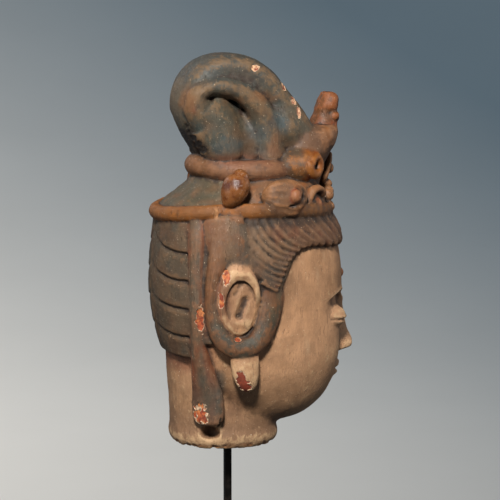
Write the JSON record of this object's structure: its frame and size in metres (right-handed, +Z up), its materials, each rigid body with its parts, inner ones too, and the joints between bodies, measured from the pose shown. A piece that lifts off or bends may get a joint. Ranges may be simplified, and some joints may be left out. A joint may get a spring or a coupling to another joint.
{
  "type": "carved wooden head sculpture on a stand",
  "caption": "Life-size carved and painted wooden head with a looped topknot, a crown and long earlobes, held up by a steel rod in a square block.",
  "frame": {"origin": "centre of the base block's underside, on the rod's axis", "axes": "+Z up along the rod, the face looks along -Y, and the figure's right side is at -X"},
  "size_m": [0.197, 0.2392, 0.6314],
  "materials": {
    "painted_wood": "old carved wood with worn, chipped paint and traces of gilding",
    "black_steel": "square steel bar with matt black paint",
    "black_wood": "wooden block with satin black paint"
  },
  "bodies": {
    "root": {"head": "painted_wood", "stand_rod": "black_steel", "stand_base": "black_wood"}
  },
  "joints": []
}
